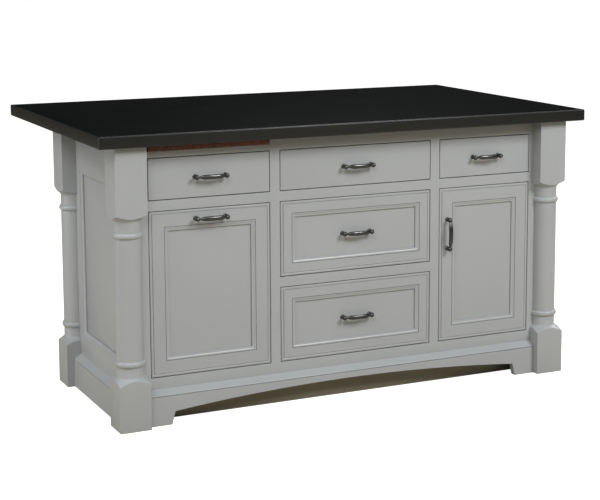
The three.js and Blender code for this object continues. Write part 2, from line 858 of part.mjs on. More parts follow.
for (const { name, bay, row, faces, framed } of drawers) {
  const drawer = new THREE.Group();
  island.add(drawer);
  const width = bay.x1 - bay.x0 - 2 * reveal;
  const height = row.z1 - row.z0 - 2 * reveal;
  const front = framed ? framedFront(width, height, drawerFrameWidth) : slabFront(width, height);
  const x = (bay.x0 + bay.x1) / 2;
  const z = (row.z0 + row.z1) / 2;
  const pullFace = framed ? frontPlane + panelDepth : frontPlane;
  place(drawer, `drawer_${name}_front`, front, greyPaint, x, frontPlane, z);
  place(drawer, `drawer_${name}_pull`, pull(), brushedNickel, x, pullFace, z);
  place(drawer, `drawer_${name}_box`, drawerBox(bay, row, boxHeight(row)), birchPly);
  placeRunners(name, bay, row, faces[0], faces[1]);
}

// ---------------------------------------------------------------- bin pull-out

const doorHeight = doorRow.z1 - doorRow.z0 - 2 * reveal;
const doorMiddle = (doorRow.z0 + doorRow.z1) / 2;
const wasteMiddle = (leftBay.x0 + leftBay.x1) / 2;

const wasteFront = framedFront(leftBayWidth - 2 * reveal, doorHeight, doorFrameWidth);
place(island, 'waste_front', wasteFront, greyPaint, wasteMiddle, frontPlane, doorMiddle);

// How far inside a door's edge the middle of the flat of its frame lies.
const framePullInset = (frontBeadWidth + grooveWidth + doorFrameWidth) / 2;
const wastePullZ = doorRow.z1 - reveal - framePullInset;
place(island, 'waste_pull', pull(), brushedNickel, wasteMiddle, frontPlane, wastePullZ);

// A low box like a drawer's, with its front wall carried up to stiffen the tall front.
function wasteTray() {
  const low = drawerBox(leftBay, doorRow, trayHeight);
  const x0 = leftBay.x0 + boxSideGap;
  const x1 = leftBay.x1 - boxSideGap;
  const y0 = frameBack + glueLine;
  const z0 = doorRow.z0 + boxLift;
  const raised = block(x0, x1, y0, y0 + boxWall, z0 + trayHeight - past, z0 + trayFrontHeight);
  return join(low, raised);
}

place(island, 'waste_tray', wasteTray(), birchPly);
placeRunners('waste', leftBay, doorRow, -sideInner, leftPartitionFaces.x0);

// A tapered bin with rounded corners and a turned-down rim, as one skin from its outside underneath,
// over the rim and down to its floor. It stands on z = 0.
function bin(halfX, halfY) {
  const wall = binWall;
  const taper = (z) => binDraft * (1 - z / binHeight);
  const ring = (outset, z) => {
    const inset = taper(z) - outset;
    return levelRing(halfX - inset, halfY - inset, z, binCorner - inset, 4);
  };
  const rimTop = binHeight - wall;
  const rimBottom = binHeight - binRimDrop;
  const insideRim = binRimWidth - wall;
  return loft([
    ring(-binBaseEdge, 0),
    ring(0, binBaseEdge),
    ring(0, rimTop - wall),
    ring(insideRim, rimTop - wall),
    ring(insideRim, rimBottom),
    ring(binRimWidth, rimBottom),
    ring(binRimWidth, rimTop),
    ring(insideRim, binHeight),
    ring(0, binHeight),
    ring(-wall, rimTop),
    ring(-wall, wall + binBaseEdge),
    ring(-wall - binBaseEdge, wall),
  ]);
}

function placeBin() {
  const insideWidth = leftBayWidth - 2 * boxSideGap - 2 * boxWall;
  const insideLength = boxLength - 2 * boxWall;
  const halfX = insideWidth / 2 - binSideGap - binRimWidth;
  const halfY = insideLength / 2 - binSideGap - binRimWidth;
  const y = frameBack + glueLine + boxLength / 2;
  const z = doorRow.z0 + boxLift + boxFloorRise + boxFloor + seatClearance;
  place(island, 'waste_bin', bin(halfX, halfY), binPlastic, wasteMiddle, y, z);
}

placeBin();

// ---------------------------------------------------------------- right door

const doorMiddleX = (rightBay.x0 + rightBay.x1) / 2;
const hingeX = rightBay.x1 - reveal - cupInset;
const hingeZs = { upper: doorRow.z1 - reveal - hingeFromEnd, lower: doorRow.z0 + reveal + hingeFromEnd };

function cupBore(x, z) {
  const radius = cupRadius + seatClearance;
  const depth = cupDepth + seatClearance + past;
  const bore = new THREE.CylinderGeometry(radius, radius, depth, hingeSides);
  return bore.translate(x, frontThickness + past - depth / 2, z);
}

function rightDoor() {
  const leaf = framedFront(rightBayWidth - 2 * reveal, doorHeight, doorFrameWidth);
  const bores = Object.values(hingeZs).map((z) => cupBore(hingeX - doorMiddleX, z - doorMiddle));
  return cut(leaf, ...bores);
}

place(island, 'door_right', rightDoor(), greyPaint, doorMiddleX, frontPlane, doorMiddle);

const doorPullX = rightBay.x0 + reveal + framePullInset;
const doorPullZ = doorRow.z1 - doorPullDrop;
place(island, 'door_pull', uprightPull(), brushedNickel, doorPullX, frontPlane, doorPullZ);

// The cup with its rim and screw flange. The door's back is at y = 0 and the cup reaches into the door.
function hingeCup() {
  const back = glueLine;
  const top = back + cupFlangeThickness;
  const disc = (radiusTop, radiusBottom, from, to) => {
    const cylinder = new THREE.CylinderGeometry(radiusTop, radiusBottom, to - from, hingeSides);
    return cylinder.translate(0, (from + to) / 2, 0);
  };
  const cup = disc(cupRadius, cupRadius, -cupDepth, (back + top) / 2);
  const rim = disc(cupRadius + cupRimWidth, cupRadius + cupRimWidth, back, top);
  const outline = levelRing(cupFlangeWidth / 2, cupFlangeHeight / 2, 0, cupFlangeCorner, 3);
  const flange = loft([back, top].map((y) => outline.map((point) => new THREE.Vector3(point.x, y, point.y))));
  const wellRadius = cupRadius - cupWall;
  const well = disc(wellRadius, wellRadius - cupDraft, cupFloor - cupDepth, top + past);
  return cut(join(cup, rim, flange), well);
}

// The arm that reaches from over the cup to its plate on the carcass side, seen from above.
function hingeArm() {
  const side = sideInner - hingeX - glueLine;
  const over = cupFlangeThickness + glueLine + seatClearance;
  const plate = side - hingePlateThickness;
  const armFace = plate - armThickness;
  const end = over + hingePlateLength;
  const arm = new THREE.Shape([
    new THREE.Vector2(-armTip, over),
    new THREE.Vector2(side, over),
    new THREE.Vector2(side, end),
    new THREE.Vector2(plate, end),
    new THREE.Vector2(armFace, end - armBend),
    new THREE.Vector2(armFace, over + armThickness + armBend),
    new THREE.Vector2(armFace - armBend, over + armThickness),
    new THREE.Vector2(-armTip, over + armThickness),
  ]);
  const bar = new THREE.ExtrudeGeometry(arm, { depth: armHeight, bevelEnabled: false });
  bar.translate(0, 0, -armHeight / 2);
  const half = hingePlateHeight / 2;
  const footing = block(plate, side, over + armThickness, end, -half, half);
  return join(bar, footing);
}

for (const [rank, z] of Object.entries(hingeZs)) {
  const y = frontPlane + frontThickness;
  place(island, `hinge_cup_${rank}`, hingeCup(), hingeSteel, hingeX, y, z);
  place(island, `hinge_arm_${rank}`, hingeArm(), hingeSteel, hingeX, y, z);
}

// ---------------------------------------------------------------- cutting board

// The groove round the top of the board that holds spilt juice.
function juiceGroove(halfX, halfY, z) {
  const column = (inset, corner, from, to) => (
    loft([from, to].map((level) => levelRing(halfX - inset, halfY - inset, level, corner, 3)))
  );
  const floor = z - juiceGrooveDepth;
  const insideCorner = juiceGrooveCorner / 2;
  const outside = column(juiceGrooveInset, juiceGrooveCorner, floor, z + past);
  const inside = column(juiceGrooveInset + juiceGrooveWidth, insideCorner, floor - past, z + 2 * past);
  return cut(outside, inside);
}

function cuttingBoard() {
  const halfX = leftBayWidth / 2 - boardSideGap;
  const halfY = boardLength / 2;
  const body = loft([
    levelRing(halfX - boardEdge, halfY - boardEdge, 0),
    levelRing(halfX, halfY, boardEdge),
    levelRing(halfX, halfY, boardThickness - boardEdge),
    levelRing(halfX - boardEdge, halfY - boardEdge, boardThickness),
  ]);
  return cut(body, juiceGroove(halfX, halfY, boardThickness));
}

const boardMiddleY = boardFront + boardLength / 2;
const boardZ = boardSlotBottom + seatClearance;
place(island, 'cutting_board', cuttingBoard(), boardWood, wasteMiddle, boardMiddleY, boardZ);

export default island;
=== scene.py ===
# Kitchen island unit with turned corner posts: its finishes and fine shapes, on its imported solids.
#
# Metres. +X runs along the front to the right, +Y from the front to the back, +Z up.
# The origin is on the floor under the middle of the worktop.

import math

import bmesh
import bpy
from mathutils import Matrix, Vector


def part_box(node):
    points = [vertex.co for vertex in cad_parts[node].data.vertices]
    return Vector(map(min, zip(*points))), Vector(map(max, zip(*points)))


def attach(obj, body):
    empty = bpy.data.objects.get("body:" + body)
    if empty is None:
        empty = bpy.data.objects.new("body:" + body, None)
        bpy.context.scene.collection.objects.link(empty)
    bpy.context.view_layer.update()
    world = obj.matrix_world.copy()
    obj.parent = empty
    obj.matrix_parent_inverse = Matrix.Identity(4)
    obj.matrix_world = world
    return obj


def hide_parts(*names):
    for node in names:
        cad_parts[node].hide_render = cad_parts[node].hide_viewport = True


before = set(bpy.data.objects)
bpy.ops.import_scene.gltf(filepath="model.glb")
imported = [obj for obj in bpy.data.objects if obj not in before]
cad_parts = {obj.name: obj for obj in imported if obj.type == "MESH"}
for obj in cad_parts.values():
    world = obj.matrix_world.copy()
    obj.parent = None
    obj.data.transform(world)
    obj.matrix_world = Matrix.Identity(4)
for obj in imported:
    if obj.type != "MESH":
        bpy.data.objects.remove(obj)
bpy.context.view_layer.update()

# ---------------------------------------------------------------- carcass
# Two partitions, the bottom deck and the shelf, of 18 mm birch plywood, glued and screwed together.
# The faces carry the grain of the veneer, and the cut edges show the plies.


def colour(red, green, blue):
    """An sRGB colour, 0 to 255, as Blender's linear one."""
    linear = []
    for part in (red, green, blue):
        part /= 255
        linear.append(part / 12.92 if part <= 0.04045 else ((part + 0.055) / 1.055) ** 2.4)
    return (*linear, 1)


def add_node(tree, kind, inputs=None, **settings):
    """A shader node. Its inputs are given by name or number: a socket is linked, a value is set."""
    made = tree.nodes.new("ShaderNode" + kind)
    for name, value in settings.items():
        setattr(made, name, value)
    for name, value in (inputs or {}).items():
        if isinstance(value, bpy.types.NodeSocket):
            tree.links.new(value, made.inputs[name])
        else:
            made.inputs[name].default_value = value
    return made


def new_finish(name, roughness):
    """A material with its tree and its shader."""
    material = bpy.data.materials.new(name)
    material.use_nodes = True
    shader = material.node_tree.nodes["Principled BSDF"]
    shader.inputs["Roughness"].default_value = roughness
    return material, material.node_tree, shader


def stretched(tree, scale):
    """The piece's own coordinates, scaled per axis."""
    place = add_node(tree, "TexCoord").outputs["Object"]
    return add_node(tree, "Mapping", {"Vector": place, "Scale": scale}).outputs["Vector"]


def noise(tree, scale, detail, distortion=0.0):
    """Clouds or grain, as a value from 0 to 1. scale is about the number of waves in a metre, per axis."""
    inputs = {"Vector": stretched(tree, scale), "Scale": 1.0, "Detail": detail, "Distortion": distortion}
    return add_node(tree, "TexNoise", inputs).outputs["Fac"]


def mixed(tree, factor, first, second):
    return add_node(tree, "MixRGB", {"Fac": factor, "Color1": first, "Color2": second}).outputs["Color"]


def ranged(tree, value, low, high, to_low, to_high):
    inputs = {"Value": value, "From Min": low, "From Max": high, "To Min": to_low, "To Max": to_high}
    return add_node(tree, "MapRange", inputs).outputs["Result"]


def bumped(tree, shader, height, distance, strength):
    bump = add_node(tree, "Bump", {"Height": height, "Distance": distance, "Strength": strength})
    tree.links.new(bump.outputs["Normal"], shader.inputs["Normal"])


def grained(across, along, axis):
    """The scale of a grain that runs along one axis: its waves in a metre across it and along it."""
    scale = [across] * 3
    scale["XYZ".index(axis)] = along
    return scale


def birch_ply(name, across, along):
    """Birch plywood. across is the axis of its thickness, along the axis of its face grain."""
    two_plies = 0.0028
    material, tree, shader = new_finish(name, 0.5)
    grain = noise(tree, grained(46.0, 2.2, along), 6.0, 0.6)
    cloud = noise(tree, (3, 3, 3), 2.0)
    veneer = mixed(tree, ranged(tree, grain, 0.35, 0.68, 0, 1), colour(224, 198, 158), colour(200, 168, 124))
    veneer = mixed(tree, ranged(tree, cloud, 0.3, 0.7, 0.0, 0.35), veneer, colour(216, 182, 140))
    position = add_node(tree, "SeparateXYZ", {"Vector": add_node(tree, "TexCoord").outputs["Object"]})
    phase = add_node(tree, "Math", {0: position.outputs[across], 1: 2 * math.pi / two_plies},
                     operation="MULTIPLY")
    wave = add_node(tree, "Math", {0: phase.outputs[0]}, operation="SINE").outputs[0]
    plies = mixed(tree, ranged(tree, wave, -0.5, 0.5, 0, 1), colour(214, 182, 138), colour(150, 112, 74))
    normal = add_node(tree, "SeparateXYZ", {"Vector": add_node(tree, "TexCoord").outputs["Normal"]})
    facing = add_node(tree, "Math", {0: normal.outputs[across]}, operation="ABSOLUTE")
    is_veneer = add_node(tree, "Math", {0: facing.outputs[0], 1: 0.6}, operation="GREATER_THAN")
    tree.links.new(mixed(tree, is_veneer.outputs[0], plies, veneer), shader.inputs["Base Color"])
    bumped(tree, shader, grain, 0.0003, 0.4)
    return material


def coat_node(name, material):
    """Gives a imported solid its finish."""
    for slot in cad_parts[name].material_slots:
        slot.material = material


upright_ply = birch_ply("birch_ply_upright", "X", "Z")
level_ply = birch_ply("birch_ply_level", "Z", "X")
for name in ("partition_left", "partition_right"):
    coat_node(name, upright_ply)
for name in ("bottom_deck", "shelf"):
    coat_node(name, level_ply)

# ---------------------------------------------------------------- carcass sides
# Birch plywood, screwed to the deck and painted on the outside, where the end panels show it. The left one
# carries a ledge for the cutting board, and the right one is housed for the shelf.


def satin_paint(name, main, soft):
    """Sprayed paint: faint clouds in its colour and the fine texture of the spray."""
    material, tree, shader = new_finish(name, 0.34)
    cloud = noise(tree, (2.5, 2.5, 2.5), 3.0)
    spray = noise(tree, (900, 900, 900), 2.0)
    tint = mixed(tree, ranged(tree, cloud, 0.3, 0.7, 0, 1), main, soft)
    fine = mixed(tree, ranged(tree, spray, 0.3, 0.7, 0, 0.05), tint, colour(90, 92, 90))
    tree.links.new(fine, shader.inputs["Base Color"])
    tree.links.new(ranged(tree, cloud, 0.2, 0.8, 0.30, 0.38), shader.inputs["Roughness"])
    bumped(tree, shader, spray, 0.00012, 0.35)
    return material


grey_paint = satin_paint("grey_satin_paint", colour(168, 172, 174), colour(163, 167, 170))


def clear_selection():
    bpy.ops.object.select_all(action="DESELECT")


def take(piece):
    """Selects one piece alone and makes it active."""
    clear_selection()
    piece.select_set(True)
    bpy.context.view_layer.objects.active = piece


def settle(piece):
    """Puts the place, turn and scale of a piece into its mesh."""
    take(piece)
    bpy.ops.object.transform_apply(location=True, rotation=True, scale=True)


def name_piece(name):
    """Names the piece that was just added, and its mesh."""
    piece = bpy.context.object
    piece.name = name
    piece.data.name = name
    return piece


def block(name, low, high):
    """A block between two corners."""
    clear_selection()
    centre = [(a + b) / 2 for a, b in zip(low, high)]
    size = [b - a for a, b in zip(low, high)]
    bpy.ops.mesh.primitive_cube_add(size=1, location=centre, scale=size)
    piece = name_piece(name)
    settle(piece)
    return piece


def modify(piece, kind, **settings):
    """Adds a modifier and applies it."""
    take(piece)
    bpy.ops.object.modifier_add(type=kind)
    modifier = piece.modifiers[-1]
    for name, value in settings.items():
        setattr(modifier, name, value)
    bpy.ops.object.modifier_apply(modifier=modifier.name)


def cut(piece, cutter, operation="DIFFERENCE"):
    """Cuts one piece with another, joins the two or keeps what they share. The second one is used up."""
    modify(piece, "BOOLEAN", operation=operation, solver="EXACT", object=cutter)
    bpy.data.objects.remove(cutter)


def soften(piece, width, degrees=35):
    """Rounds the arrises of a piece."""
    limit = math.radians(degrees)
    modify(piece, "BEVEL", width=width, segments=2, limit_method="ANGLE", angle_limit=limit)


def smooth(piece, degrees=30):
    take(piece)
    bpy.ops.object.shade_smooth_by_angle(angle=math.radians(degrees))


def fit(piece, body, material, node):
    """Gives a piece its finish and its body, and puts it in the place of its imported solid."""
    piece.data.materials.clear()
    piece.data.materials.append(material)
    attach(piece, body)
    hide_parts(node)


past = 0.01  # how far a cutter runs on beyond what it cuts
side_arris = 0.0005
ledge_top = 0.851
ledge_thickness = 0.018
ledge_back = 0.026
ledge_stop = 0.0001
ledge_sunk = 0.0009
housing_gap = 0.0003


def face_side(side, node, outer):
    """Finishes a side, with paint on the face that stands at x = outer."""
    soften(side, side_arris)
    fit(side, "cabinet", upright_ply, node)
    side.data.materials.append(grey_paint)
    for face in side.data.polygons:
        if abs(face.normal.x) > 0.9 and abs(face.center.x - outer) < side_arris / 2:
            face.material_index = 1
    smooth(side)


side_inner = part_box("side_right")[0].x
low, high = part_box("side_left")
side_left = block("side_left_faced", low, (-side_inner, high.y, high.z))
ledge = block("ledge", (-side_inner - ledge_sunk, low.y + ledge_stop, ledge_top - ledge_thickness),
              (high.x, ledge_back, ledge_top))
cut(side_left, ledge, operation="UNION")
face_side(side_left, "side_left", low.x)

low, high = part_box("side_right")
shelf_low, shelf_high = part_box("shelf")
side_right = block("side_right_faced", low, high)
housing = block("housing", (low.x - past, low.y - past, shelf_low.z - housing_gap),
                (shelf_high.x + housing_gap, high.y + past, shelf_high.z + housing_gap))
cut(side_right, housing)
face_side(side_right, "side_right", high.x)

# ---------------------------------------------------------------- face frame, panelling and back panel
# The face frame is glued up from stiles, mullions and rails; the ends and the back have applied frames with
# a moulded edge round flat panels. All of it is hardwood under a sprayed light grey satin paint.

frame_arris = 0.0007
front_gap = 0.0025
slot_top = 0.900

low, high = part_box("face_frame")
face_frame = block("face_frame_painted", low, high)
openings = []
for node in ("drawer_left_front", "waste_front", "drawer_centre_top_front", "drawer_centre_middle_front",
             "drawer_centre_bottom_front", "drawer_right_front", "door_right"):
    front_low, front_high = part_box(node)
    openings.append((front_low.x - front_gap, front_low.z - front_gap,
                     front_high.x + front_gap, front_high.z + front_gap))
board_slot = (openings[0][0], ledge_top, openings[0][2], slot_top)
openings.insert(0, board_slot)
for x0, z0, x1, z1 in openings:
    cut(face_frame, block("opening", (x0, low.y - past, z0), (x1, high.y + past, z1)))
soften(face_frame, frame_arris)
smooth(face_frame)
fit(face_frame, "cabinet", grey_paint, "face_frame")

applied_arris = 0.0006
sticking_width = 0.009
sticking_depth = 0.007
sticking_steps = 10
stile_width = 0.045
mullion_width = 0.070
panel_low = 0.195
panel_high = 0.723


def start_edit(piece):
    take(piece)
    bpy.ops.object.mode_set(mode="EDIT")
    bpy.ops.mesh.select_all(action="DESELECT")


def end_edit():
    bpy.ops.object.mode_set(mode="OBJECT")


def pick_faces(piece, wanted):
    """Selects the faces of a piece in edit mode that wanted(face) says yes to."""
    bpy.ops.mesh.select_mode(type="FACE")
    bpy.ops.mesh.select_all(action="DESELECT")
    mesh = bmesh.from_edit_mesh(piece.data)
    for face in mesh.faces:
        face.select_set(bool(wanted(face)))
    mesh.select_flush_mode()
    bmesh.update_edit_mesh(piece.data)


def extrude(step):
    """Draws what is selected in edit mode out by a step."""
    bpy.ops.mesh.extrude_region_move(TRANSFORM_OT_translate={"value": step})


def sink_panel_opening(piece, x0, x1, face, thickness):
    """Cuts an opening with a hollow moulded edge through a frame that faces the front at depth face."""
    cutter = block("opening", (x0 - sticking_width, face - past, panel_low - sticking_width),
                   (x1 + sticking_width, face, panel_high + sticking_width))
    start_edit(cutter)
    pick_faces(cutter, lambda side: side.normal.y > 0.9)
    reach = sticking_width
    depth = 0.0
    for i in range(1, sticking_steps + 1):
        angle = i / sticking_steps * math.pi / 2
        new_reach = sticking_width * math.cos(angle)
        new_depth = sticking_depth * math.sin(angle)
        bpy.ops.mesh.inset(thickness=reach - new_reach, depth=new_depth - depth)
        reach = new_reach
        depth = new_depth
    extrude((0, thickness, 0))
    end_edit()
    cut(piece, cutter)


def turned_box(node, face_angle):
    """The box of a node as it would be with its face turned to the front."""
    turn = Matrix.Rotation(face_angle, 3, "Z")
    corners = [turn.inverted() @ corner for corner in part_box(node)]
    low = Vector([min(a, b) for a, b in zip(*corners)])
    high = Vector([max(a, b) for a, b in zip(*corners)])
    return low, high


def applied_frame(node, face_angle, spans):
    """An applied frame, made facing the front and turned to its own side. spans are its openings."""
    low, high = turned_box(node, face_angle)
    piece = block(node + "_painted", low, high)
    for x0, x1 in spans:
        sink_panel_opening(piece, x0, x1, low.y, high.y - low.y)
    soften(piece, applied_arris, degrees=50)
    piece.rotation_euler.z = face_angle
    settle(piece)
    smooth(piece)
    fit(piece, "cabinet", grey_paint, node)


end_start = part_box("post_front_right")[1].y + stile_width
end_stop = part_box("post_back_right")[0].y - stile_width
applied_frame("end_frame_right", math.pi / 2, [(end_start, end_stop)])
applied_frame("end_frame_left", -math.pi / 2, [(-end_stop, -end_start)])
back_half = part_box("post_back_right")[0].x - stile_width
back_span = (2 * back_half - 2 * mullion_width) / 3
back_starts = [-back_half + i * (back_span + mullion_width) for i in range(3)]
applied_frame("back_frame", math.pi, [(x, x + back_span) for x in back_starts])

coat_node("back_panel", grey_paint)

# ---------------------------------------------------------------- corner posts
# Four hardwood posts, turned between a square top block and a square plinth, with a lamb's tongue at each
# change from square to round. The inner quarter is cut away, and the cabinet's corner is glued into it.

post_half = 0.050
post_top = 0.8758
post_arris = 0.0015
block_height = 0.205
plinth_height = 0.142
shaft_radius = 0.041
clear_radius = 0.0717
bead_radius = 0.047
bead_height = 0.018
neck_height = 0.032
upper_tongue_height = 0.026
lower_tongue_height = 0.024
notch_start = -0.0022


def pick_edges(piece, wanted):
    """Selects the edges of a piece in edit mode for which wanted(one end, other end) is true."""
    bpy.ops.mesh.select_mode(type="EDGE")
    bpy.ops.mesh.select_all(action="DESELECT")
    mesh = bmesh.from_edit_mesh(piece.data)
    for edge in mesh.edges:
        edge.select_set(bool(wanted(*(v.co for v in edge.verts))))
    mesh.select_flush_mode()
    bmesh.update_edit_mesh(piece.data)


def draw_line(name, points):
    """A line of edges from point to point, extruded from one vertex. It stays in edit mode."""
    clear_selection()
    bpy.ops.mesh.primitive_plane_add(size=0.01, location=points[0])
    piece = name_piece(name)
    settle(piece)
    bpy.ops.object.mode_set(mode="EDIT")
    bpy.ops.mesh.select_mode(type="VERT")
    bpy.ops.mesh.select_all(action="SELECT")
    bpy.ops.mesh.merge(type="CENTER")
    for start, end in zip(points, points[1:]):
        extrude(Vector(end) - Vector(start))
    return piece


def close_mesh():
    """Turns all faces of the piece in edit mode outwards, and leaves edit mode."""
    bpy.ops.mesh.select_all(action="SELECT")
    bpy.ops.mesh.normals_make_consistent(inside=False)
    end_edit()


def turn_on_lathe(name, outline, steps, axis=(0, 0, 1)):
    """Spins a line about an axis through the origin and closes it."""
    piece = draw_line(name, outline)
    bpy.ops.mesh.select_all(action="SELECT")
    bpy.ops.mesh.spin(steps=steps, angle=2 * math.pi, center=(0, 0, 0), axis=axis)
    bpy.ops.mesh.select_all(action="SELECT")
    bpy.ops.mesh.remove_doubles(threshold=0.00002)
    close_mesh()
    return piece


def bezier(p0, p1, p2, p3, steps):
    """Points along a cubic curve in a plane."""
    points = []
    for i in range(steps + 1):
        t = i / steps
        weights = ((1 - t) ** 3, 3 * t * (1 - t) ** 2, 3 * t * t * (1 - t), t ** 3)
        points.append(tuple(sum(w * p[k] for w, p in zip(weights, (p0, p1, p2, p3))) for k in (0, 1)))
    return points


def bead_profile(z0):
    """A ring bead that starts at height z0, as (radius, height) points."""
    steps = 14
    points = []
    for i in range(steps + 1):
        angle = i / steps * math.pi
        points.append((shaft_radius + (bead_radius - shaft_radius) * math.sin(angle),
                       z0 + bead_height / 2 * (1 - math.cos(angle))))
    return points


def tongue_profile(z_block, z_neck, fullness, hollow):
    """The sweep from past the square's corners to the shaft. The two shares set how it curves."""
    rise = z_neck - z_block
    return bezier((clear_radius, z_block), (clear_radius, z_block + fullness * rise),
                  (shaft_radius, z_block + hollow * rise), (shaft_radius, z_neck), 16)


block_bottom = post_top - block_height
neck_low = plinth_height + lower_tongue_height
neck_high = block_bottom - upper_tongue_height
post_outline = [
    (0, 0),
    (clear_radius, 0),
    *tongue_profile(plinth_height, neck_low, fullness=0.05, hollow=0.9),
    *bead_profile(neck_low + neck_height),
    *bead_profile(neck_high - neck_height - bead_height),
    *reversed(tongue_profile(block_bottom, neck_high, fullness=0.15, hollow=0.52)),
    (clear_radius, post_top),
    (0, post_top),
]


def is_post_arris(one_end, other_end):
    """True for the upright edges of the square stick and for those of its foot."""
    return abs(one_end.z - other_end.z) > post_half or max(one_end.z, other_end.z) < post_half


post = block("post", (-post_half, -post_half, 0), (post_half, post_half, post_top))
start_edit(post)
pick_edges(post, is_post_arris)
bpy.ops.mesh.bevel(offset=post_arris, segments=3)
end_edit()
cut(post, turn_on_lathe("turned", [(r, 0, z) for r, z in post_outline], 128), operation="INTERSECT")
notch = block("notch", (notch_start, notch_start, -past),
              (post_half + past, post_half + past, post_top + past))
cut(post, notch)
smooth(post, 28)


def copy_of(piece, name):
    """A copy of a piece, with its own mesh."""
    copy = piece.copy()
    copy.data = piece.data.copy()
    copy.name = name
    bpy.context.collection.objects.link(copy)
    return copy


post_turns = {"post_front_left": 0, "post_front_right": 90, "post_back_right": 180, "post_back_left": -90}
for node, degrees in post_turns.items():
    low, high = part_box(node)
    turned = copy_of(post, node + "_turned")
    turned.location = ((low.x + high.x) / 2, (low.y + high.y) / 2, 0)
    turned.rotation_euler.z = math.radians(degrees)
    settle(turned)
    fit(turned, "cabinet", grey_paint, node)
bpy.data.objects.remove(post)

# ---------------------------------------------------------------- skirtings and toe board
# Hardwood skirtings, planted on between the posts: a flat face, a quirk, a rounded nose and a cap that
# slopes back to the frame. The front one is cut to a long low arch. Behind it stands the toe board, in an
# olive grey darker than the rest: partly its own paint and partly painted shade, as it stands deep in shade.

skirting_out = 0.023
skirting_height = 0.108
skirting_round = 0.0008
skirting_gap = 0.0002
quirk_depth = 0.003
quirk_height = 0.0025
cap_bottom = 0.091
cap_feather = 0.004
foot_width = 0.074
foot_lean = 0.011
arch_spring = 0.042
arch_crown = 0.073
arch_steps = 64

cap_top = skirting_height + cap_feather
nose_out = skirting_out + 0.0001
nose_top = (skirting_out - 0.0016, cap_bottom + 0.0058)
nose = bezier((skirting_out - skirting_round, cap_bottom + quirk_height), (nose_out, cap_bottom + 0.0030),
              (nose_out, cap_bottom + 0.0048), nose_top, 6)
slope = bezier(nose_top, (skirting_out - 0.0080, cap_bottom + 0.0104),
               (0.0060, cap_top - 0.0038), (skirting_gap, cap_top), 14)
skirting_profile = [
    (skirting_gap, 0),
    (skirting_out - skirting_round, 0),
    (skirting_out, skirting_round),
    (skirting_out, cap_bottom - skirting_round),
    (skirting_out - skirting_round, cap_bottom),
    (skirting_out - quirk_depth, cap_bottom),
    (skirting_out - quirk_depth, cap_bottom + quirk_height),
    *nose,
    *slope[1:],
]


def draw_out(name, outline, run):
    """A closed outline, filled and drawn out by a step."""
    piece = draw_line(name, outline)
    bpy.ops.mesh.select_all(action="SELECT")
    bpy.ops.mesh.edge_face_add()
    extrude(run)
    close_mesh()
    return piece


def arch_cutter(front, back):
    """The space under the arch, between two feet whose inner edges lean in upwards."""
    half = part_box("post_front_right")[0].x - foot_width
    spring_half = half - foot_lean
    rise = arch_crown - arch_spring
    radius = (spring_half ** 2 + rise ** 2) / (2 * rise)
    sweep = math.asin(spring_half / radius)
    arc = []
    for i in range(arch_steps + 1):
        angle = sweep * (1 - 2 * i / arch_steps)
        arc.append((radius * math.sin(angle), arch_crown - radius + radius * math.cos(angle)))
    outline = [(half, -past), (half, 0), *arc, (-half, 0), (-half, -past)]
    return draw_out("arch", [(x, front, z) for x, z in outline], (0, back - front, 0))


skirting_angles = {"skirting_front": 0, "skirting_right": math.pi / 2, "skirting_left": -math.pi / 2,
                   "skirting_back": math.pi}
for node, face_angle in skirting_angles.items():
    low, high = turned_box(node, face_angle)
    wall = high.y + skirting_gap
    outline = [(low.x, wall - out, z) for out, z in skirting_profile]
    skirting = draw_out(node + "_moulded", outline, (high.x - low.x, 0, 0))
    if node == "skirting_front":
        cut(skirting, arch_cutter(low.y - past, high.y + past))
    skirting.rotation_euler.z = face_angle
    settle(skirting)
    smooth(skirting, 25)
    fit(skirting, "cabinet", grey_paint, node)

# The toe board's olive grey, darker than the other paint, is partly its own paint and partly painted shade.
toe_board_paint_and_shade = satin_paint("toe_board_paint_and_painted_shade", colour(142, 138, 120), colour(132, 128, 110))
coat_node("toe_board", toe_board_paint_and_shade)

# ---------------------------------------------------------------- runners
# Strips of waxed beech, screwed to the sides and the partitions. The grooves in the drawer boxes and in the
# tray slide on them.


def straight_grain(name, light, dark, roughness, scale):
    """A plain hardwood with its grain along one axis."""
    material, tree, shader = new_finish(name, roughness)
    grain = noise(tree, scale, 5.0, 0.4)
    tint = mixed(tree, ranged(tree, grain, 0.35, 0.66, 0, 1), light, dark)
    tree.links.new(tint, shader.inputs["Base Color"])
    bumped(tree, shader, grain, 0.0002, 0.4)
    return material


runner_beech = straight_grain("waxed_beech", colour(196, 160, 118), colour(168, 128, 88), 0.45,
                              grained(160.0, 4.0, "Y"))
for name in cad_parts:
    if name.startswith("runner_"):
        coat_node(name, runner_beech)

# ---------------------------------------------------------------- drawers
# Glued birch boxes with grooved sides, each behind a painted front. The top three fronts are plain; the two
# under them have a bead round the outside and an ogee that steps down to a flat panel.

box_wall = 0.015
box_floor = 0.008
box_floor_rise = 0.008
box_arris = 0.0008
runner_gap = 0.0003
groove_lead = 0.005
near = 0.001


def drawer_box(name, low, high, runners):
    """Four walls, a bottom let into them, and a groove for each of the two runners."""
    piece = block(name, low, high)
    start_edit(piece)
    pick_faces(piece, lambda side: side.normal.z > 0.9)
    bpy.ops.mesh.inset(thickness=box_wall, depth=0)
    extrude((0, 0, low.z + box_floor_rise + box_floor - high.z))
    pick_faces(piece, lambda side: side.normal.z < -0.9 and side.calc_center_median().z < low.z + near)
    bpy.ops.mesh.inset(thickness=box_wall, depth=0)
    extrude((0, 0, box_floor_rise))
    end_edit()
    for side in ("_left", "_right"):
        runner_low, runner_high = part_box(runners + side)
        start = (runner_low.x - runner_gap, runner_low.y - groove_lead, runner_low.z - runner_gap)
        end = (runner_high.x + runner_gap, high.y + past, runner_high.z + runner_gap)
        cut(piece, block("groove", start, end))
    return piece


box_birch = birch_ply("box_birch", "X", "Y")

slab_arris = 0.0015


